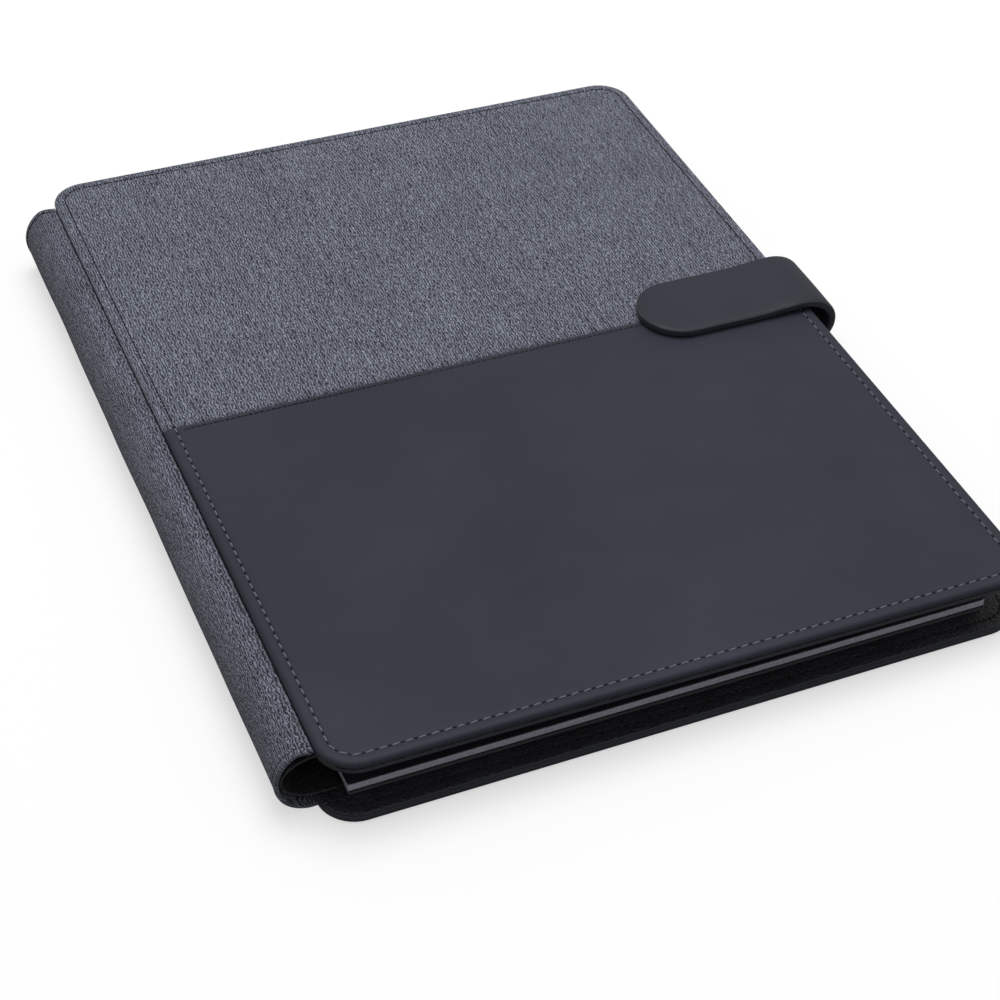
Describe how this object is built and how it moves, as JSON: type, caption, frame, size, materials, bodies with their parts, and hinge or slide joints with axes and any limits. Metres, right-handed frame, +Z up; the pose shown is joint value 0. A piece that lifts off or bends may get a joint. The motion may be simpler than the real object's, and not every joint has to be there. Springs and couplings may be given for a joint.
{
  "type": "compendium portfolio",
  "caption": "Closed A4 compendium folder with a soft spine, two-tone front cover, magnetic strap, notepad, document pocket and pen loop.",
  "frame": {"origin": "underside of the closed case, below the middle of its bounding box", "axes": "+X from the spine to the open side, +Y from the front end to the back end, +Z up out of the front cover"},
  "size_m": [0.2488, 0.308, 0.0273],
  "materials": {
    "smooth_leather": "smooth dark blue-grey leatherette, satin",
    "fabric": "blue-grey melange weave, matt",
    "board": "stiff greyboard, hidden",
    "lining": "black grained leatherette lining",
    "elastic": "black ribbed elastic",
    "grey_board": "grey pad backing board",
    "paper": "writing paper",
    "pad_cover": "dark card, matt",
    "tape": "dark cloth binding tape",
    "magnet": "flat steel disc, hidden"
  },
  "bodies": {
    "back": {"back_panel": "smooth_leather", "back_board": "board", "back_lining": "lining", "spine_gusset": "fabric", "spine_lining": "lining", "pen_loop": "elastic", "pad_backing_board": "grey_board", "pad_paper": "paper", "pad_cover_sheet": "pad_cover", "pad_binding_tape": "tape", "pad_slot_panel": "lining", "strap_anchor": "smooth_leather"},
    "front_cover": {"front_smooth_panel": "smooth_leather", "front_fabric_panel": "fabric", "front_board": "board", "front_keeper_plate": "magnet", "front_lining": "lining", "front_document_pocket": "lining", "card_slot_1": "lining", "card_slot_2": "lining", "card_slot_3": "lining"},
    "strap": {"strap_outer": "smooth_leather", "strap_lining": "lining", "strap_magnet": "magnet"}
  },
  "joints": [
    {"name": "cover_hinge", "type": "hinge", "parent": "back", "child": "front_cover", "pos_m": [-0.1238, 0, 0.0128], "axis": [0, -1, 0], "range_deg": [0, 180], "deforming": ["spine_gusset", "spine_lining"]},
    {"name": "strap_hinge", "type": "hinge", "parent": "back", "child": "strap", "pos_m": [0.12445, 0.0045, 0.01582], "axis": [0, 1, 0], "range_deg": [0, 175]}
  ]
}
